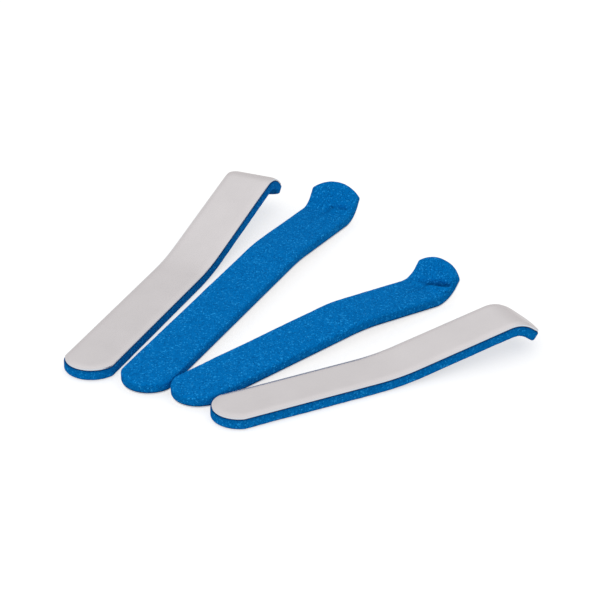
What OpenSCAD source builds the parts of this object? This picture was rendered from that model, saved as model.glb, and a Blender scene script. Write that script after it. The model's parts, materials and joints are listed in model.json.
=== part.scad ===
// Set of padded finger splints lying in a fan. Each one is a bent aluminium strip
// with a foam pad bonded to the side that the finger lies on. The strip is flat at
// the hand end, rises gently in the middle and turns over at the fingertip.

/* [Stock] */
// Width of the aluminium strip
strip_width = 19; // [14:0.5:28]
// Thickness of the aluminium strip
metal_thickness = 1; // [0.6:0.1:2]
// Thickness of the adhesive film between the strip and the foam
film_thickness = 0.1; // [0.05:0.05:0.3]
// Distance from the edge of the strip to the edge of the adhesive film
film_inset = 0.5; // [0.2:0.1:1.5]
// Thickness of the foam pad
foam_thickness = 4.2; // [2:0.1:6]
// How far the foam pad stands out past the edge of the metal
foam_overhang = 0.5; // [0:0.1:1.5]

/* [Side profile] */
// Length of the flat at the hand end of each splint
hand_lengths = [82, 106.5, 75, 61]; // [40:0.5:120]
// Radius of the gentle rise, at the face of the metal that carries the foam
rise_radius = 100; // [60:5:400]
// Length of the straight between the two bends of each splint
middle_lengths = [48, 37, 29.5, 38.5]; // [5:0.5:60]
// Radius of the fingertip bend, at the face of the metal that carries the foam
tip_radius = 12; // [10:0.5:40]
// Length of the straight past the fingertip bend
tip_length = 7; // [7:0.5:20]
// Angle of the rise on each splint
rise_angles = [11, 7, 8.5, 10]; // [5:0.5:30]
// Angle of the fingertip bend on each splint
tip_angles = [54, 56, 58.5, 47]; // [20:0.5:80]

/* [End shapes] */
// How far the middle of the hand end stands out past its corners
hand_bow = 7; // [2:0.5:8]
// Radius of the corners at the hand end
hand_corner = 2; // [0.5:0.5:4]
// How far the middle of the fingertip end stands out past its corners
tip_bow = 4; // [2:0.5:7]
// Radius of the corners at the fingertip end
tip_corner = 1; // [0.5:0.5:4]

/* [Fan] */
// Direction of each splint, counted from +X
headings = [67, 64, 42.5, 28.5]; // [0:0.5:90]
// Gap between each foam pad and the next one at the hand end
fan_gaps = [3.7, 0.4, 0.4]; // [0.3:0.1:20]
// How far along each splint the hand corner of the next pad stands
fan_steps = [6, 10, 10]; // [0:0.5:20]

/* [Hidden] */
// The first and last splints lie on their foam, the two between lie on their metal
metal_up = [true, false, false, true];
// Smallest corner radius, for the film's outline inside the strip's
least_corner = 0.2;
// Turn from one flat to the next, in degrees, along a bend and along an end
bend_step = 1.5;
end_step = 4;
half_width = strip_width / 2;
half_pad = half_width + foam_overhang;
pad_depth = film_thickness + foam_thickness;
last = len(headings) - 1;
// How far the bent stock runs on past both ends before the outlines trim it
spare = foam_overhang + 1;
// Longer than any splint, for the outlines that trim the ends
reach = 2 * (max(hand_lengths) + rise_radius + max(middle_lengths) + 2 * tip_radius + tip_length);
PIECES = ["metal_strip", "adhesive_film", "foam_pad"];

function node_name(i, piece) = str("splint_", i + 1, "_", piece);

// Radius of an arc across the strip that bows out by the given amount
function bow_radius(bow) = (half_width * half_width + bow * bow) / (2 * bow);

function turned(point, angle) =
    [point.x * cos(angle) - point.y * sin(angle), point.x * sin(angle) + point.y * cos(angle)];

// Side profile of a splint with the metal up: the face of the metal that carries the foam
// starts at the hand end, at the origin. Each bend is an arc about its centre.
function rise_point(i, angle) = [hand_lengths[i], rise_radius] + turned([0, -rise_radius], angle);
function tip_centre(i) =
    rise_point(i, rise_angles[i]) + turned([middle_lengths[i], -tip_radius], rise_angles[i]);
function tip_point(i, angle) = tip_centre(i) + turned([0, tip_radius], angle);
function tip_slope(i) = rise_angles[i] - tip_angles[i];

// Angles in steps that are all alike, without the given number at either end
function angles(from, to, step, without = 0) = let (steps = ceil(abs(to - from) / step))
    [for (k = [without:steps - without]) from + (to - from) * k / steps];

// Points along the profile, set off towards the metal's outer face by the given height
function profile(i, height) = concat(
    [[-spare, height]],
    [for (a = angles(0, rise_angles[i], bend_step)) rise_point(i, a) + turned([0, height], a)],
    [for (a = angles(rise_angles[i], tip_slope(i), bend_step))
        tip_point(i, a) + turned([0, height], a)],
    [tip_point(i, tip_slope(i)) + turned([tip_length + spare, height], tip_slope(i))]
);

function reversed(points) = [for (k = [len(points) - 1:-1:0]) points[k]];

// Slope at which a splint with the foam up rests on its hand end and its fingertip bend
function pitch(i) = let (c = tip_centre(i), up = metal_thickness - c.y)
    asin((tip_radius + metal_thickness) / norm([c.x, up])) - atan2(up, c.x);

// Middle of each hand end on the table: the origin is under the middle of the first splint's
// flat, and each further pad has its hand corner a gap away from the edge of the one before
function hand_end(i) = i == 0
    ? turned([-hand_lengths[0] / 2, 0], headings[0])
    : hand_end(i - 1)
        + turned([fan_steps[i - 1], -half_pad - fan_gaps[i - 1]], headings[i - 1])
        - turned([hand_bow, half_pad], headings[i]);

// Plate with a bowed end at x = 0 between rounded corners, running on along x. Each corner
// touches the bow from within and the side of the strip.
module end_outline(bow, corner, inset) {
    half = half_width - inset;
    centre = [bow_radius(bow), 0];
    arc = centre.x - inset;
    fillet = max(corner - inset, least_corner);
    corner_y = half - fillet;
    corner_x = centre.x - sqrt(pow(arc - fillet, 2) - pow(corner_y, 2));
    meet = 180 - atan2(corner_y, centre.x - corner_x);
    left = [for (a = angles(90, meet, end_step)) [corner_x, corner_y] + turned([fillet, 0], a)];
    middle = [for (a = angles(meet, 360 - meet, end_step, 1)) centre + turned([arc, 0], a)];
    right = [for (point = reversed(left)) [point.x, -point.y]];
    polygon(concat(left, middle, right, [[reach, -half], [reach, half]]));
}

// One layer of a splint with the metal up, between two heights above the face of the metal
// that carries the foam: a strip bent to the side profile and trimmed at both ends
module layer(i, low, high, inset) {
    tip_end = tip_point(i, tip_slope(i)) + turned([tip_length, 0], tip_slope(i));
    intersection() {
        rotate([90, 0, 0]) linear_extrude(2 * strip_width, center = true)
            polygon(concat(profile(i, high), reversed(profile(i, low))));
        linear_extrude(reach, center = true) end_outline(hand_bow, hand_corner, inset);
        translate([tip_end.x, 0, tip_end.y]) rotate([0, -tip_slope(i), 0]) mirror([1, 0, 0])
            linear_extrude(reach, center = true) end_outline(tip_bow, tip_corner, inset);
    }
}

// Turns a splint over if its foam is up, sets it down and puts it at its place in the fan
module placed(i) {
    translate(hand_end(i)) rotate([0, 0, headings[i]])
        if (metal_up[i]) translate([0, 0, pad_depth]) children();
        else rotate([0, -pitch(i), 0]) translate([0, 0, metal_thickness]) rotate([180, 0, 0])
            children();
}

module metal_strip(i) {
    color("silver") placed(i) layer(i, 0, metal_thickness, 0);
}

module adhesive_film(i) {
    color("ivory") placed(i) layer(i, -film_thickness, 0, film_inset);
}

module foam_pad(i) {
    color([0.02, 0.41, 0.71]) placed(i)
        layer(i, -pad_depth, -film_thickness, -foam_overhang);
}

for (i = [0:last]) {
    metal_strip(i);
    adhesive_film(i);
    foam_pad(i);
}
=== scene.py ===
"""Dresses a set of padded finger splints: bent aluminium strips faced with blue foam, in a fan."""

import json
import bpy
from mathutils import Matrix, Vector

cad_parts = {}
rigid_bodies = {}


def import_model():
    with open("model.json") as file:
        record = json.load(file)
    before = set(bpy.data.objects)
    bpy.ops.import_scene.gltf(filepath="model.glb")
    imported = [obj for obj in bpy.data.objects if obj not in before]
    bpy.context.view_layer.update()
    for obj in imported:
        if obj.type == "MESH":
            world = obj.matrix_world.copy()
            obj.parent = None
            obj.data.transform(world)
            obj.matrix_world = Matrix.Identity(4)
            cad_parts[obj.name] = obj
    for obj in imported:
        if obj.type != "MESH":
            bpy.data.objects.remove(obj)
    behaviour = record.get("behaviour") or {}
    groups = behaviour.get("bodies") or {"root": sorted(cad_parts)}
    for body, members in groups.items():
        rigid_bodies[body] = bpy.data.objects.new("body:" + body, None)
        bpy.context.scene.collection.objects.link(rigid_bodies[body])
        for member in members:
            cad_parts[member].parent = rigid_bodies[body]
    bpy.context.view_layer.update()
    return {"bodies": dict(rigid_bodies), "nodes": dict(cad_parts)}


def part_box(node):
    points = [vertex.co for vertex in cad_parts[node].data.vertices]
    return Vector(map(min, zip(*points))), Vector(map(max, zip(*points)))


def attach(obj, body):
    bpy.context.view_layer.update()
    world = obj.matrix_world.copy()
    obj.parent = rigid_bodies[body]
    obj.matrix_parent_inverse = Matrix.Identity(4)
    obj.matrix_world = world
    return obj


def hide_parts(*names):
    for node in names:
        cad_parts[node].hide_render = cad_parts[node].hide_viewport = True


bl_info = {
    "name": "Padded Finger Splints",
    "version": (1, 0, 0),
    "blender": (4, 5, 0),
    "location": "View3D > Sidebar > Splints",
    "description": "Builds bent aluminium finger splints with foam pads and a plain studio",
    "category": "Add Mesh",
}

import bpy
import numpy as np
from bpy.props import FloatProperty, FloatVectorProperty, PointerProperty
from bpy.types import Operator, Panel, PropertyGroup
from mathutils import Vector

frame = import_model()

MM = 0.001
# One body per splint, in the order in which they lie from left to right
BODIES = sorted(frame["bodies"])
# Point attribute with a point's place on the strip: along it, across it and above the bond
PLACE = "strip_place"
# Point attribute that masks painted colour: the metal's sheared edge, whose colour carries a
# painted reflection, and painted shade in the foam's creases, its valley and along its edge at the
# metal
EDGE_AND_SHADE = "edge_and_shade"
# Fewest points on an arc of the outline, and points on the round of an edge
ARC_POINTS = 8
ROUND_POINTS = 6
# Points along the fingertip bend, for each one that the strip has elsewhere
BEND_POINTS = 2
# Farthest that the box of a new piece may lie from the box of the solid that it replaces
FIT = 0.8 * MM
# The fraction of a large sine gives each lattice point its height: what the column, the row and
# the seed count in the sine's angle, and how large the sine is
COLUMN_TURN, ROW_TURN, SEED_TURN, SINE_SIZE = 12.99, 78.23, 37.7, 43758.55
# Seeds of the noise in the foam's cells and of its slow unevenness, on the first splint
CELL_SEED, SWELL_SEED = 5, 9
# Share of the fingertip bend at which the foam folds
FOLD_SHARE = 0.65
# Shoulders of a crease: height as a share of its depth, then distance and width in half widths
SHOULDER_HEIGHT, SHOULDER_DISTANCE, SHOULDER_WIDTH = 0.25, 3, 1.6
# How many times sharper the painted dark line in a crease is than the crease
LINE_SHARPNESS = 2
# How much painted shade the valley gets, where a full crease's dark line gets 1
VALLEY_SHADE = 0.35
# Sockets of a Mix node that mixes colours: factor, first and second colour, and the result
FACTOR, FIRST, SECOND, MIXED = 0, 6, 7, 2
# Soft lamps: place from the aim point and width in metres, and power in watts
LAMPS = {"key_lamp": ((-0.35, -0.95, 0.62), 0.7, 2.5), "fill_lamp": ((0.6, -0.7, 0.7), 0.7, 0.2)}
# Width of the camera's frame, in millimetres
FRAME_WIDTH = 36


def linear(hex_colour):
    """An sRGB hex colour as linear red, green and blue."""
    srgb = np.array([int(hex_colour[k:k + 2], 16) for k in (0, 2, 4)]) / 255
    return tuple(np.where(srgb <= 0.04045, srgb / 12.92, ((srgb + 0.055) / 1.055) ** 2.4))


def length(name, description, millimetres):
    """A size that the sidebar shows as a length."""
    return FloatProperty(name=name, description=description, default=millimetres * MM,
                         min=0, precision=4, subtype="DISTANCE", unit="LENGTH")


def per_splint(name, description, values, unit):
    """A size that each splint has its own value of."""
    return FloatVectorProperty(name=name, description=description, default=values,
                               size=len(values), unit=unit)


def level(name, description, value):
    """A brightness, where 1 is white."""
    return FloatProperty(name=name, description=description, default=value, min=0)


def colour(name, description, hex_colour):
    """A colour, written as sRGB hex."""
    return FloatVectorProperty(name=name, description=description, default=linear(hex_colour),
                               min=0, max=1, size=3, subtype="COLOR")


class SplintSizes(PropertyGroup):
    """Sizes of the strip stock, its bends and ends, and the fan that the splints lie in."""

    strip_width: length("Strip width", "Width of the aluminium strip", 19)
    metal_thickness: length("Metal thickness", "Thickness of the aluminium strip", 1)
    film_thickness: length("Film thickness", "Thickness of the adhesive under the foam", 0.1)
    foam_thickness: length("Foam thickness", "Thickness of the foam pad", 4.2)
    foam_overhang: length("Foam overhang", "How far the foam stands out past the metal", 0.5)
    hand_lengths: per_splint("Hand flats", "Length of the flat at each hand end",
                             np.array((82, 106.5, 75, 61)) * MM, "LENGTH")
    rise_radius: length("Rise radius", "Radius of the gentle rise, at the bond", 100)
    middle_lengths: per_splint("Middles", "Length of the straight between each splint's bends",
                               np.array((48, 37, 29.5, 38.5)) * MM, "LENGTH")
    tip_radius: length("Fingertip radius", "Radius of the fingertip bend, at the bond", 12)
    tip_length: length("Fingertip straight", "Length past the fingertip bend", 7)
    rise_angles: per_splint("Rise angles", "Angle of the rise on each splint",
                            np.radians((11, 7, 8.5, 10)), "ROTATION")
    tip_angles: per_splint("Fingertip angles", "Angle of the fingertip bend on each splint",
                           np.radians((54, 56, 58.5, 47)), "ROTATION")
    hand_bow: length("Hand end bow", "How far the hand end bows out past its corners", 7)
    hand_corner: length("Hand end corner", "Radius of the corners at the hand end", 2)
    tip_bow: length("Fingertip end bow", "How far the fingertip end bows out", 4)
    tip_corner: length("Fingertip end corner", "Radius of the fingertip end's corners", 1)
    headings: per_splint("Headings", "Direction of each splint, counted from +X",
                         np.radians((67, 64, 42.5, 28.5)), "ROTATION")
    fan_gaps: per_splint("Gaps", "Gap between each pad and the next one",
                         np.array((3.7, 0.4, 0.4)) * MM, "LENGTH")
    fan_steps: per_splint("Steps", "How far along a splint the next pad's corner stands",
                          np.array((6, 10, 10)) * MM, "LENGTH")


class SplintSurface(PropertyGroup):
    """Rounds, creases and fine relief of the metal and the foam."""

    metal_step: length("Metal step", "Distance between points on the metal", 0.5)
    metal_roll: length("Metal roll", "How far shearing rolls the outer face down at its edge", 0.42)
    metal_roll_width: length("Metal roll width", "Width of the face that is rolled down", 2.6)
    metal_outer_round: length("Metal outer round", "Round of the sheared edge, outside", 0.2)
    metal_inner_round: length("Metal inner round", "Round of the sheared edge, at the foam", 0.1)
    metal_wave: length("Metal waviness", "Height of the ripple left by rolling", 0.012)
    metal_wave_length: length("Metal wave length", "Length of the ripple along the strip", 14)
    metal_wave_width: length("Metal wave width", "Width of the ripple across the strip", 9)
    foam_step: length("Foam step", "Distance between points on the foam", 0.45)
    foam_roll: length("Foam roll", "How far the cut draws the free face down at its edge", 0.15)
    foam_roll_width: length("Foam roll width", "Width of the face that is drawn down", 3)
    foam_face_round: length("Foam face round", "Round of the foam's free edge", 1.1)
    foam_bond_round: length("Foam bond round", "Round of the foam's edge at the metal", 0.8)
    cell_relief: length("Cell relief", "Depth of the foam's open cells", 0.06)
    cell_width: length("Cell width", "Width of the cells in the relief", 0.95)
    swell: length("Swell", "Depth of the foam's slow unevenness", 0.15)
    swell_width: length("Swell width", "Width of the foam's slow unevenness", 9)
    crease_depths: per_splint("Creases", "Depth of the crease inside each fingertip bend",
                              np.array((0.7, 0.9, 1.8, 0.7)) * MM, "LENGTH")
    crease_width: length("Crease width", "Half width of the crease", 1.1)
    crease_wander: length("Crease wander", "Width over which a crease strays from its line", 1.5)
    # Depth of a crease whose painted dark line is at full strength
    full_shade_depth: length("Full crease", "Depth of a crease that closes up all its cells", 3)
    crease_slants: per_splint("Crease slants", "How far each crease runs along for its way across",
                              (0.2, 0, 0.4, 0.2), "NONE")
    crease_middles: per_splint("Crease middles", "Where across the strip each crease is deepest",
                               np.array((3, 5, 5.5, 3)) * MM, "LENGTH")
    crease_spans: per_splint("Crease spans", "Half of each crease's way across the strip",
                             np.array((8, 3.5, 9, 8)) * MM, "LENGTH")
    valley_depth: length("Valley depth", "Depth of the fold along the middle", 0.6)
    valley_width: length("Valley width", "Half width of the fold along the middle", 0.9)
    valley_length: length("Valley length", "Length of the fold along the middle", 19)
    # Height over which the painted shade along the foam's edge at the metal fades
    bond_shade_height: length("Pinch", "Height over which the foam is pinched at the metal", 0.4)


class SplintFinishes(PropertyGroup):
    """Colours of the metal, the foam and the adhesive."""

    metal: colour("Aluminium", "Rolled aluminium sheet", "D3CFD0")
    metal_dull: colour("Dull aluminium", "Duller clouds in the rolled sheet", "CAC6C7")
    # The sheared edge walls take this cooler grey: the cut metal, with a painted reflection along
    # the rim
    metal_edge: colour("Sheared aluminium", "Cooler grey of the sheared edge", "CBD0D8")
    metal_glance: colour("Glancing aluminium", "Tint of the mirror at a flat angle", "E1DEDE")
    strut: colour("Foam struts", "Walls of the foam's cells, where they catch light", "0279C8")
    pore: colour("Foam pores", "Shaded hollows of the foam's cells", "004888")
    # Painted glints on a few of the foam's cells
    sparkle: colour("Foam sparkle", "Cell skins that glint", "26A0EC")
    # Painted shade in the creases, the valley and along the foam's edge at the metal
    painted_shade: colour("Squeezed foam", "Foam whose cells are closed up", "002E62")
    film: colour("Adhesive", "Acrylic adhesive under the foam", "E6E0CC")
    film_edge: colour("Adhesive grime", "Dust on the adhesive", "CFC7AF")


class SplintStudio(PropertyGroup):
    """Camera, floor and white surroundings."""

    elevation: FloatProperty(name="Elevation", description="Camera's angle above the table",
                             default=np.radians(27.3), unit="ROTATION")
    lens: FloatProperty(name="Lens", description="Focal length on a 36 mm frame",
                        default=180, unit="CAMERA")
    distance: length("Distance", "From the camera to the point that it aims at", 1139)
    aim: FloatVectorProperty(name="Aim", description="Point that the camera aims at",
                             default=(63.2 * MM, 25.4 * MM, 0), size=3, subtype="TRANSLATION")
    floor: colour("Floor", "Plain pale floor, without its glow", "C3C3C3")
    floor_glow: level("Floor glow", "Glow of the floor where it is seen directly", 0.62)
    floor_reach: length("Floor reach", "From the middle of the floor to its edges", 4000)
    floor_drop: length("Floor drop", "How far the floor lies under the splints", 0.05)
    world_light: level("World light", "Light of the surroundings on the splints", 0.77)
    overhead: level("Overhead", "Brightness of the surroundings overhead", 1.14)
    overhead_start: FloatProperty(name="Overhead start", default=np.radians(26.74),
                                  description="Elevation from which the surroundings brighten",
                                  unit="ROTATION")
    overhead_end: FloatProperty(name="Overhead end", default=np.radians(58.21),
                                description="Elevation from which they are as bright as overhead",
                                unit="ROTATION")


# Shape of a splint. A place on the strip is s, the length along it from the hand end, v, the
# distance across it, and h, the height above the bond on the metal's side.

def stations(sizes, i):
    """Lengths along the strip at which the flat, the rise, the middle, the bend and the tip end."""
    return np.cumsum((sizes.hand_lengths[i], sizes.rise_radius * sizes.rise_angles[i],
                      sizes.middle_lengths[i], sizes.tip_radius * sizes.tip_angles[i],
                      sizes.tip_length))


def side_profile(sizes, i, s):
    """Side view of the bond with the metal up: x, z and slope at each length s.

    The slope grows evenly along the rise and falls evenly along the fingertip bend. x and z
    are the sums of the straights and of the two arcs up to s.
    """
    flat_end, rise_end, middle_end, bend_end, _ = stations(sizes, i)
    rise, rise_radius, tip_radius = sizes.rise_angles[i], sizes.rise_radius, sizes.tip_radius
    up = np.clip((s - flat_end) / rise_radius, 0, rise)
    over = np.clip((s - middle_end) / tip_radius, 0, sizes.tip_angles[i])
    flat = np.minimum(s, flat_end)
    middle = np.clip(s, rise_end, middle_end) - rise_end
    last = np.maximum(s - bend_end, 0)
    slope = rise - over
    x = (flat + rise_radius * np.sin(up) + middle * np.cos(rise)
         + tip_radius * (np.sin(rise) - np.sin(slope)) + last * np.cos(slope))
    z = (rise_radius * (1 - np.cos(up)) + middle * np.sin(rise)
         + tip_radius * (np.cos(slope) - np.cos(rise)) + last * np.sin(slope))
    return x, z, up - over


def pitch(sizes, i):
    """Slope at which a splint with its foam up rests on its hand end and fingertip bend."""
    x, z, slope = side_profile(sizes, i, stations(sizes, i)[2])
    along = x + sizes.tip_radius * np.sin(slope)
    above = sizes.metal_thickness - z + sizes.tip_radius * np.cos(slope)
    reach = np.hypot(along, above)
    return np.arcsin((sizes.tip_radius + sizes.metal_thickness) / reach) - np.arctan2(above, along)


def turned(point, angle):
    """A point turned about the origin of its plane."""
    x, y = point
    return np.array((x * np.cos(angle) - y * np.sin(angle), x * np.sin(angle) + y * np.cos(angle)))


def hand_end(sizes, i):
    """Middle of a hand end on the table.

    The first splint's flat has its middle at the origin. Each further pad has the corner of its
    hand end a gap away from the edge of the one before.
    """
    if i == 0:
        return turned((-sizes.hand_lengths[0] / 2, 0), sizes.headings[0])
    half = sizes.strip_width / 2 + sizes.foam_overhang
    corner = (sizes.fan_steps[i - 1], -half - sizes.fan_gaps[i - 1])
    return (hand_end(sizes, i - 1) + turned(corner, sizes.headings[i - 1])
            - turned((sizes.hand_bow, half), sizes.headings[i]))


def metal_up(i):
    """Whether a splint lies on its foam, from the heights of its solids."""
    strip, pad = (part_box(f"{BODIES[i]}_{piece}")[0].z for piece in ("metal_strip", "foam_pad"))
    return strip > pad


def on_table(sizes, i, s, v, h):
    """Places on a strip as points in the frame: bent to the side profile, turned over if the
    foam is up, set down on the table and put in the fan."""
    x, z, slope = side_profile(sizes, i, s)
    x = x - np.sin(slope) * h
    z = z + np.cos(slope) * h
    if metal_up(i):
        z = z + sizes.film_thickness + sizes.foam_thickness
    else:
        x, z = turned((x, sizes.metal_thickness - z), pitch(sizes, i))
        v = -v
    x, y = turned((x, v), sizes.headings[i])
    start = hand_end(sizes, i)
    return np.stack((x + start[0], y + start[1], z), axis=-1)


def arc(centre, radius, start, end, step):
    """Points on an arc with the angles of their normals, without the last point."""
    count = max(ARC_POINTS, int(np.ceil(abs(end - start) * radius / step)))
    angles = np.linspace(start, end, count, endpoint=False)
    x, y = centre[0] + radius * np.cos(angles), centre[1] + radius * np.sin(angles)
    return np.stack((x, y, angles))


def end_outline(half, bow, corner, step):
    """One half of an end that faces -s: a bowed arc from its middle, then a corner arc.

    The corner touches the bow from within and the side of the strip. Also gives the length
    at which the side starts.
    """
    radius = (half ** 2 + bow ** 2) / (2 * bow)
    side = radius - np.sqrt((radius - corner) ** 2 - (half - corner) ** 2)
    meet = np.pi - np.arctan2(half - corner, radius - side)
    bowed = arc((radius, 0), radius, np.pi, meet, step)
    rounded = arc((side, half - corner), corner, meet, np.pi / 2, step)
    return np.hstack((bowed, rounded)), side


def outline(sizes, i, step):
    """Outline of the unbent strip as rows of s, v and normal angle.

    It runs from the middle of the hand end along +v to the middle of the fingertip end, and
    back along -v as its mirror image. Its points lie closer together along the fingertip bend.
    """
    _, _, middle_end, bend_end, total = stations(sizes, i)
    half = sizes.strip_width / 2
    hand, hand_side = end_outline(half, sizes.hand_bow, sizes.hand_corner, step)
    tip, tip_side = end_outline(half, sizes.tip_bow, sizes.tip_corner, step)
    ends = np.array((hand_side, middle_end, bend_end, total - tip_side))
    counts = (np.diff(ends) / step * (1, BEND_POINTS, 1)).astype(int) + 1
    s = np.hstack([np.linspace(start, end, count, endpoint=False)
                   for start, end, count in zip(ends, ends[1:], counts)])
    side = np.stack((s, np.full_like(s, half), np.full_like(s, np.pi / 2)))
    tip = np.stack((total - tip[0], tip[1], np.pi - tip[2]))[:, ::-1]
    there = np.hstack((hand, side, tip))
    back = there[:, -2:0:-1] * np.array(((1,), (-1,), (-1,)))
    return np.hstack((there, back))


def rows(low, high, low_round, high_round, half, step):
    """Rows of a solid, from the middle of its low face, round its edge, to the middle of its
    high face: inset from the outline, height, share of the width, and the surface's direction
    outwards and upwards. Each edge is a quarter circle."""
    turn = np.linspace(0, np.pi / 2, ROUND_POINTS)
    face = (np.arange(int(half / step)) + 0.5) * step / half
    wall = np.linspace(low + low_round, high - high_round, int((high - low) / step) + 2)[1:-1]
    one, none = np.ones_like, np.zeros_like
    return np.hstack((
        (one(face) * low_round, one(face) * low, face, none(face), -one(face)),
        (low_round * (1 - np.sin(turn)), low + low_round * (1 - np.cos(turn)), one(turn),
         np.sin(turn), -np.cos(turn)),
        (none(wall), wall, one(wall), one(wall), none(wall)),
        (high_round * (1 - np.cos(turn)), high - high_round * (1 - np.sin(turn)), one(turn),
         np.cos(turn), np.sin(turn)),
        (one(face) * high_round, one(face) * high, face[::-1], none(face), one(face)),
    ))[..., None]


def closed_faces(row_count, loop_count):
    """Quads between rows of a closed loop, with the first and last rows each zipped to their
    own mirror images along the middle."""
    r, k = np.meshgrid(np.arange(row_count - 1), np.arange(loop_count), indexing="ij")
    here, there = r * loop_count, (r + 1) * loop_count
    after = (k + 1) % loop_count
    sides = np.stack((here + k, there + k, there + after, here + after), axis=-1).reshape(-1, 4)
    k = np.arange(1, loop_count // 2 - 1)
    zipped = np.stack((k, k + 1, loop_count - k - 1, loop_count - k), axis=-1)
    middle = loop_count // 2
    ends = np.array(((0, 1, loop_count - 1), (middle - 1, middle, middle + 1)))
    top = (row_count - 1) * loop_count
    return [*sides.tolist(), *zipped.tolist(), *ends.tolist(),
            *(top + zipped[:, ::-1]).tolist(), *(top + ends[:, ::-1]).tolist()]


def layer(name, sizes, i, heights, overhang, rounds, roll, step, relief):
    """Mesh object of one layer of a splint, between two heights above the bond.

    The outline is carried over the rows: each row is set out along the outline's normals by the
    overhang and in by its inset, then drawn towards the strip's middle line by its share of the
    width. Towards the edge the layer thins by a parabola, the roll, given as its depth and
    width. relief(s, v, h, up) gives how far a point moves along the surface's direction, and how
    far it takes the painted colour: the edge tint on metal, painted shade on foam.
    """
    half, total = sizes.strip_width / 2, stations(sizes, i)[-1]
    edge_s, edge_v, angle = outline(sizes, i, step)
    inset, height, share, out, up = rows(*heights, *rounds, half, step)
    s = edge_s + np.cos(angle) * (overhang - inset)
    v = (edge_v + np.sin(angle) * (overhang - inset)) * share
    s = total / 2 + (s - total / 2) * (1 - (1 - share) * 2 * half / total)
    bond = min(heights, key=abs)
    rolled = np.clip(1 - (1 - share) * half / roll[1], 0, 1) ** 2
    height = bond + (height - bond) * (1 - rolled * roll[0] / np.ptp(heights))
    moved, edge_and_shade = relief(s, v, height, up)
    s = s + moved * out * np.cos(angle)
    v = v + moved * out * np.sin(angle)
    h = height + moved * up
    mesh = bpy.data.meshes.new(name)
    mesh.from_pydata(on_table(sizes, i, s, v, h).reshape(-1, 3), [], closed_faces(*s.shape))
    place = mesh.attributes.new(PLACE, "FLOAT_VECTOR", "POINT")
    place.data.foreach_set("vector", np.stack((s, v, h), axis=-1).astype(np.float32).ravel())
    mark = mesh.attributes.new(EDGE_AND_SHADE, "FLOAT", "POINT")
    mark.data.foreach_set("value", np.broadcast_to(edge_and_shade, s.shape).astype(np.float32).ravel())
    mesh.shade_smooth()
    piece = bpy.data.objects.new(name, mesh)
    bpy.context.scene.collection.objects.link(piece)
    return piece


def stand_for(piece, node, i):
    """Puts a piece in the place of a solid, after a test that it lies where the solid does."""
    corners = np.array(piece.bound_box)
    off = max(np.abs(corners.min(0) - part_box(node)[0]).max(),
              np.abs(corners.max(0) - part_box(node)[1]).max())
    if off > FIT:
        raise ValueError(f"{piece.name} lies {off / MM:.2f} mm from {node}")
    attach(piece, BODIES[i])
    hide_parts(node)


def lattice_noise(x, y, seed):
    """Smooth noise from 0 to 1: each point of a unit lattice has its own height, the fraction of
    a large sine, and the heights between are eased from corner to corner."""
    def height(column, row):
        sine = np.sin(column * COLUMN_TURN + row * ROW_TURN + seed * SEED_TURN)
        return np.modf(np.abs(sine * SINE_SIZE))[0]
    column, row = np.floor(x), np.floor(y)
    across, along = ((t * t * (3 - 2 * t)) for t in (x - column, y - row))
    near = height(column, row) * (1 - across) + height(column + 1, row) * across
    far = height(column, row + 1) * (1 - across) + height(column + 1, row + 1) * across
    return near * (1 - along) + far * along


def metal_relief(surface, i):
    """Relief of a strip: a slow ripple along it, as rolled sheet has. The sheared edge, where
    the surface faces outwards, is marked for the cooler grey with its painted reflection."""
    def relief(s, v, h, up):
        wave = lattice_noise(s / surface.metal_wave_length, v / surface.metal_wave_width, i) - 0.5
        return surface.metal_wave * wave * np.abs(up), 1 - up ** 2
    return relief


def foam_relief(sizes, surface, i):
    """Relief of a pad: open cells all over and slow unevenness on the free face, and there the
    folds that the fingertip bend squeezes into the foam.

    A crease slants across the bend. Its depth is a bell curve along the strip, less two lower
    bells for its raised shoulders, and a wider bell across the strip. A shallow valley runs
    into it along the middle, grows evenly deeper on the way and strays with the unevenness. Shade
    is painted into the folds, and along the foam's edge at the metal, where it fades with the
    distance from the bond.
    """
    _, _, middle_end, bend_end, _ = stations(sizes, i)
    fold = middle_end + FOLD_SHARE * (bend_end - middle_end)
    depth = surface.crease_depths[i]

    def relief(s, v, h, up):
        free = np.clip(-up, 0, 1)
        cells = lattice_noise(s / surface.cell_width, v / surface.cell_width, CELL_SEED + i)
        swell = lattice_noise(s / surface.swell_width, v / surface.swell_width, SWELL_SEED + i)
        line = fold + surface.crease_slants[i] * v + surface.crease_wander * (swell - 0.5)
        away = (s - line) / surface.crease_width
        shoulders = np.exp(-((np.abs(away) - SHOULDER_DISTANCE) / SHOULDER_WIDTH) ** 2)
        crease = np.exp(-away ** 2) - SHOULDER_HEIGHT * shoulders
        deeper = np.exp(-((v - surface.crease_middles[i]) / surface.crease_spans[i]) ** 2)
        run = np.clip((s - line) / surface.valley_length + 1, 0, 1) * (s < line)
        valley = np.exp(-(v / surface.valley_width + 2 * swell - 1) ** 2) * run
        moved = -(surface.cell_relief * cells + free * (
            surface.swell * swell + depth * deeper * crease + surface.valley_depth * valley))
        # Painted shade: a dark line along each crease, and a lighter one along the valley
        dark_line = deeper * np.exp(-LINE_SHARPNESS * away ** 2) * depth / surface.full_shade_depth
        crease_shade = free * (dark_line + VALLEY_SHADE * valley)
        # Painted shade along the foam's edge at the metal, fading away from the bond
        bond_shade = np.exp((h + sizes.film_thickness) / surface.bond_shade_height)
        return moved, np.clip(np.maximum(crease_shade, bond_shade), 0, 1)
    return relief


# Finishes

def add_node(tree, kind, inputs=None, **settings):
    """Adds a node with its settings. An input is a value, or the output that it is linked to."""
    made = tree.nodes.new(kind)
    for name, value in settings.items():
        setattr(made, name, value)
    for name, value in (inputs or {}).items():
        if isinstance(value, bpy.types.NodeSocket):
            tree.links.new(value, made.inputs[name])
        else:
            made.inputs[name].default_value = value
    return made


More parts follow.
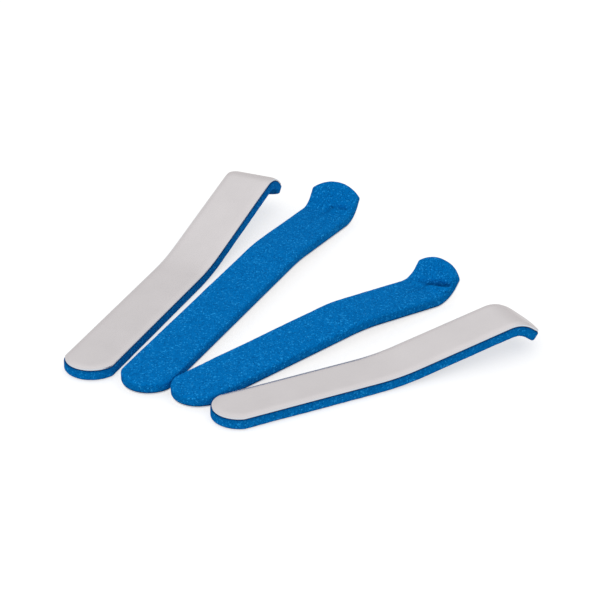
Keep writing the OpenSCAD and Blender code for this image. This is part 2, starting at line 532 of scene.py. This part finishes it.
def new_material(name):
    """An empty node material, its tree and its output node."""
    material = bpy.data.materials.new(name)
    material.use_nodes = True
    material.node_tree.nodes.clear()
    return material, material.node_tree, add_node(material.node_tree, "ShaderNodeOutputMaterial")


def aluminium(finish):
    """Mill-finish aluminium: soft sheet, rolled and sheared, neither polished nor coated.

    It gives a pale, slightly warm grey with a blurred mirror, which stays grey at a flat angle.
    Rolling leaves fine lines along the strip, drawn 0.5 mm apart so that they show, and duller
    clouds. The sheared edge is painted a cooler grey: the cut metal, with a painted reflection
    along the rim.
    """
    line_length, line_spacing, line_height = 40 * MM, 0.5 * MM, 0.002 * MM
    cloud_width = 12 * MM
    material, tree, output = new_material("mill_finish_aluminium")
    place = add_node(tree, "ShaderNodeAttribute", attribute_name=PLACE).outputs["Vector"]
    stretched = add_node(tree, "ShaderNodeMapping", {
        "Vector": place, "Scale": (1 / line_length, 1 / line_spacing, 0)})
    lines = add_node(tree, "ShaderNodeTexNoise", {
        "Vector": stretched.outputs["Vector"], "Scale": 1, "Detail": 2})
    clouds = add_node(tree, "ShaderNodeTexNoise", {
        "Vector": place, "Scale": 1 / cloud_width, "Detail": 3})
    roughness = add_node(tree, "ShaderNodeMapRange", {
        "Value": lines.outputs["Fac"], "From Min": 0.3, "From Max": 0.7,
        "To Min": 0.22, "To Max": 0.27})
    face = add_node(tree, "ShaderNodeMix", {
        FACTOR: clouds.outputs["Fac"], FIRST: (*finish.metal, 1),
        SECOND: (*finish.metal_dull, 1)}, data_type="RGBA")
    # Painted reflection: the edge walls take a cooler grey, the cut metal with a reflection painted
    # along the rim
    sheared = add_node(tree, "ShaderNodeAttribute", attribute_name=EDGE_AND_SHADE)
    base = add_node(tree, "ShaderNodeMix", {
        FACTOR: sheared.outputs["Fac"], FIRST: face.outputs[MIXED],
        SECOND: (*finish.metal_edge, 1)}, data_type="RGBA")
    bump = add_node(tree, "ShaderNodeBump", {
        "Height": lines.outputs["Fac"], "Distance": line_height, "Strength": 0.3})
    shader = add_node(tree, "ShaderNodeBsdfPrincipled", {
        "Base Color": base.outputs[MIXED], "Metallic": 1, "Normal": bump.outputs["Normal"],
        "Roughness": roughness.outputs["Result"], "Specular Tint": (*finish.metal_glance, 1)})
    tree.links.new(shader.outputs["BSDF"], output.inputs["Surface"])
    return material


def polyurethane_foam(finish):
    """Open-cell polyurethane foam, sliced from a block and dyed through.

    It is matt and soft to the eye: open cells show as pores in painted shade between struts
    in painted light, and a few cells get painted glints. The hollows swallow the gloss that a
    smooth sheet has. Painted shade darkens the creases, the valley and the foam's edge at the
    metal.
    """
    pore_width, pore_depth = 0.5 * MM, 0.12 * MM
    skin_width, patch_width = 0.45 * MM, 1.2 * MM
    material, tree, output = new_material("open_cell_polyurethane_foam")
    place = add_node(tree, "ShaderNodeTexCoord").outputs["Object"]
    cells = add_node(tree, "ShaderNodeTexVoronoi", {
        "Vector": place, "Scale": 1 / pore_width}, feature="DISTANCE_TO_EDGE")
    pores = add_node(tree, "ShaderNodeMapRange", {
        "Value": cells.outputs["Distance"], "From Min": 0.03, "From Max": 0.35})
    # Painted glints: a few cells take the light blue sparkle colour
    skins = add_node(tree, "ShaderNodeTexVoronoi", {"Vector": place, "Scale": 1 / skin_width})
    chance = add_node(tree, "ShaderNodeSeparateColor", {"Color": skins.outputs["Color"]})
    glints = add_node(tree, "ShaderNodeMapRange", {
        "Value": chance.outputs["Red"], "From Min": 0.85, "From Max": 1})
    shade = add_node(tree, "ShaderNodeTexNoise", {
        "Vector": place, "Scale": 1 / patch_width, "Detail": 3})
    uneven = add_node(tree, "ShaderNodeMapRange", {
        "Value": shade.outputs["Fac"], "From Min": 0.3, "From Max": 0.7,
        "To Min": 0.2, "To Max": 1.3})
    depth = add_node(tree, "ShaderNodeMath", {
        0: pores.outputs["Result"], 1: uneven.outputs["Result"]}, operation="MULTIPLY")
    cell_colour = add_node(tree, "ShaderNodeMix", {
        FACTOR: depth.outputs["Value"], FIRST: (*finish.strut, 1),
        SECOND: (*finish.pore, 1)}, data_type="RGBA")
    cell_and_glint_colour = add_node(tree, "ShaderNodeMix", {
        FACTOR: glints.outputs["Result"], FIRST: cell_colour.outputs[MIXED],
        SECOND: (*finish.sparkle, 1)}, data_type="RGBA")
    # Painted shade: the creases, the valley and the foam's edge at the metal turn dark blue
    painted_shade = add_node(tree, "ShaderNodeAttribute", attribute_name=EDGE_AND_SHADE)
    base = add_node(tree, "ShaderNodeMix", {
        FACTOR: painted_shade.outputs["Fac"], FIRST: cell_and_glint_colour.outputs[MIXED],
        SECOND: (*finish.painted_shade, 1)}, data_type="RGBA")
    bump = add_node(tree, "ShaderNodeBump", {
        "Height": pores.outputs["Result"], "Distance": pore_depth, "Strength": 0.5},
        invert=True)
    shader = add_node(tree, "ShaderNodeBsdfPrincipled", {
        "Base Color": base.outputs[MIXED], "Roughness": 1, "Specular IOR Level": 0.02,
        "Normal": bump.outputs["Normal"]})
    tree.links.new(shader.outputs["BSDF"], output.inputs["Surface"])
    return material


def acrylic_adhesive(finish):
    """Acrylic transfer adhesive, coated and pressed flat: ivory, slightly glossy, with dust in
    patches."""
    dust_width = 2 * MM
    material, tree, output = new_material("acrylic_adhesive")
    place = add_node(tree, "ShaderNodeTexCoord").outputs["Object"]
    dust = add_node(tree, "ShaderNodeTexNoise", {
        "Vector": place, "Scale": 1 / dust_width, "Detail": 3})
    base = add_node(tree, "ShaderNodeMix", {
        FACTOR: dust.outputs["Fac"], FIRST: (*finish.film, 1),
        SECOND: (*finish.film_edge, 1)}, data_type="RGBA")
    shader = add_node(tree, "ShaderNodeBsdfPrincipled", {
        "Base Color": base.outputs[MIXED], "Roughness": 0.5})
    tree.links.new(shader.outputs["BSDF"], output.inputs["Surface"])
    return material


class SPLINTS_OT_studio(Operator):
    """Set up the pale floor, the white surroundings, soft lamps and the camera"""

    bl_idname = "splints.studio"
    bl_label = "Studio"

    def execute(self, context):
        studio = context.scene.splint_studio
        context.scene.view_settings.view_transform = "Standard"
        self.make_world(context, studio)
        self.make_floor(context, studio)
        self.make_lamps(context, studio)
        self.make_camera(context, studio)
        return {"FINISHED"}

    @staticmethod
    def seen_directly(tree):
        """1 for rays that show the surroundings: camera, glossy and transmitted ones."""
        path = add_node(tree, "ShaderNodeLightPath").outputs
        mirrored = add_node(tree, "ShaderNodeMath", {
            0: path["Is Glossy Ray"], 1: path["Is Transmission Ray"]}, operation="MAXIMUM")
        return add_node(tree, "ShaderNodeMath", {
            0: path["Is Camera Ray"], 1: mirrored.outputs["Value"]},
            operation="MAXIMUM").outputs["Value"]

    def make_world(self, context, studio):
        """White where it shows, a little brighter overhead, and a plain dimmer light on the
        object."""
        world = bpy.data.worlds.new("white_surroundings")
        world.use_nodes = True
        tree = world.node_tree
        tree.nodes.clear()
        direction = add_node(tree, "ShaderNodeTexCoord").outputs["Generated"]
        height = add_node(tree, "ShaderNodeSeparateXYZ", {"Vector": direction})
        seen = add_node(tree, "ShaderNodeMapRange", {
            "Value": height.outputs["Z"], "From Min": np.sin(studio.overhead_start),
            "From Max": np.sin(studio.overhead_end), "To Min": 1, "To Max": studio.overhead})
        strength = add_node(tree, "ShaderNodeMapRange", {
            "Value": self.seen_directly(tree), "To Min": studio.world_light,
            "To Max": seen.outputs["Result"]})
        background = add_node(tree, "ShaderNodeBackground", {
            "Color": (1, 1, 1, 1), "Strength": strength.outputs["Result"]})
        output = add_node(tree, "ShaderNodeOutputWorld")
        tree.links.new(background.outputs["Background"], output.inputs["Surface"])
        context.scene.world = world

    def make_floor(self, context, studio):
        """A wide plane just under the splints. Seen directly it glows a little, so that it is
        white and keeps a soft shadow."""
        material, tree, output = new_material("pale_floor")
        glow = add_node(tree, "ShaderNodeMath", {
            0: self.seen_directly(tree), 1: studio.floor_glow}, operation="MULTIPLY")
        shader = add_node(tree, "ShaderNodeBsdfPrincipled", {
            "Base Color": (*studio.floor, 1), "Roughness": 1,
            "Specular IOR Level": 0, "Emission Color": (1, 1, 1, 1),
            "Emission Strength": glow.outputs["Value"]})
        tree.links.new(shader.outputs["BSDF"], output.inputs["Surface"])
        mesh = bpy.data.meshes.new("floor")
        x, y = np.array(((-1, 1, 1, -1), (-1, -1, 1, 1))) * studio.floor_reach
        z = np.full_like(x, -studio.floor_drop)
        mesh.from_pydata(np.stack((x, y, z), axis=-1), [], [(0, 1, 2, 3)])
        mesh.materials.append(material)
        floor = bpy.data.objects.new("floor", mesh)
        context.scene.collection.objects.link(floor)

    def make_lamps(self, context, studio):
        """Large soft lamps in front and above: a key from the left and a weaker fill. The metal
        doesn't mirror them."""
        aim = Vector(studio.aim)
        for name, (place, size, watts) in LAMPS.items():
            lamp = bpy.data.lights.new(name, "AREA")
            lamp.size = size
            lamp.energy = watts
            made = bpy.data.objects.new(name, lamp)
            made.location = aim + Vector(place)
            made.rotation_euler = (-Vector(place)).to_track_quat("-Z", "Y").to_euler()
            made.visible_glossy = False
            context.scene.collection.objects.link(made)

    def make_camera(self, context, studio):
        """Looks along +Y and down at the aim point."""
        data = bpy.data.cameras.new("camera")
        data.sensor_width = FRAME_WIDTH
        data.lens = studio.lens
        camera = bpy.data.objects.new("camera", data)
        back = Vector((0, -np.cos(studio.elevation), np.sin(studio.elevation)))
        camera.location = Vector(studio.aim) + back * studio.distance
        camera.rotation_euler = (-back).to_track_quat("-Z", "Y").to_euler()
        context.scene.collection.objects.link(camera)
        context.scene.camera = camera


class SPLINTS_OT_metal_strips(Operator):
    """Make the bent aluminium strips, with the rounded edges that shearing leaves"""

    bl_idname = "splints.metal_strips"
    bl_label = "Aluminium Strips"

    def execute(self, context):
        sizes, surface = context.scene.splint_sizes, context.scene.splint_surface
        material = aluminium(context.scene.splint_finishes)
        for i, body in enumerate(BODIES):
            strip = layer(f"{body}_aluminium", sizes, i, (0, sizes.metal_thickness), 0,
                          (surface.metal_inner_round, surface.metal_outer_round),
                          (surface.metal_roll, surface.metal_roll_width), surface.metal_step,
                          metal_relief(surface, i))
            strip.data.materials.append(material)
            stand_for(strip, f"{body}_metal_strip", i)
        return {"FINISHED"}


class SPLINTS_OT_foam_pads(Operator):
    """Make the foam pads, with soft edges, open cells and the crease of the fingertip bend"""

    bl_idname = "splints.foam_pads"
    bl_label = "Foam Pads"

    def execute(self, context):
        sizes, surface = context.scene.splint_sizes, context.scene.splint_surface
        material = polyurethane_foam(context.scene.splint_finishes)
        bond = -sizes.film_thickness
        for i, body in enumerate(BODIES):
            pad = layer(f"{body}_foam", sizes, i, (bond - sizes.foam_thickness, bond),
                        sizes.foam_overhang, (surface.foam_face_round, surface.foam_bond_round),
                        (surface.foam_roll, surface.foam_roll_width), surface.foam_step,
                        foam_relief(sizes, surface, i))
            pad.data.materials.append(material)
            stand_for(pad, f"{body}_foam_pad", i)
        return {"FINISHED"}


class SPLINTS_OT_adhesive_films(Operator):
    """Give the adhesive films their finish"""

    bl_idname = "splints.adhesive_films"
    bl_label = "Adhesive Films"

    def execute(self, context):
        material = acrylic_adhesive(context.scene.splint_finishes)
        for body in BODIES:
            film = frame["nodes"][f"{body}_adhesive_film"]
            film.data.materials.clear()
            film.data.materials.append(material)
        return {"FINISHED"}


class SPLINTS_PT_sidebar(Panel):
    """Lists the sizes, the finishes and the operators"""

    bl_idname = "SPLINTS_PT_sidebar"
    bl_label = "Finger Splints"
    bl_space_type = "VIEW_3D"
    bl_region_type = "UI"
    bl_category = "Splints"

    def draw(self, context):
        for operator in OPERATORS:
            self.layout.operator(operator.bl_idname)
        for name in GROUPS:
            group = getattr(context.scene, name)
            for key in group.__annotations__:
                self.layout.prop(group, key)


OPERATORS = (SPLINTS_OT_studio, SPLINTS_OT_metal_strips, SPLINTS_OT_foam_pads,
             SPLINTS_OT_adhesive_films)
GROUPS = {"splint_sizes": SplintSizes, "splint_surface": SplintSurface,
          "splint_finishes": SplintFinishes, "splint_studio": SplintStudio}
CLASSES = (*GROUPS.values(), *OPERATORS, SPLINTS_PT_sidebar)


def register():
    """Registers the classes and gives the scene its settings."""
    for each in CLASSES:
        bpy.utils.register_class(each)
    for name, group in GROUPS.items():
        setattr(bpy.types.Scene, name, PointerProperty(type=group))


def unregister():
    """Takes the settings and the classes away again."""
    for name in GROUPS:
        delattr(bpy.types.Scene, name)
    for each in reversed(CLASSES):
        bpy.utils.unregister_class(each)


def main():
    """Builds the studio and the splints."""
    register()
    bpy.ops.splints.studio()
    bpy.ops.splints.metal_strips()
    bpy.ops.splints.foam_pads()
    bpy.ops.splints.adhesive_films()


if __name__ == "__main__":
    main()
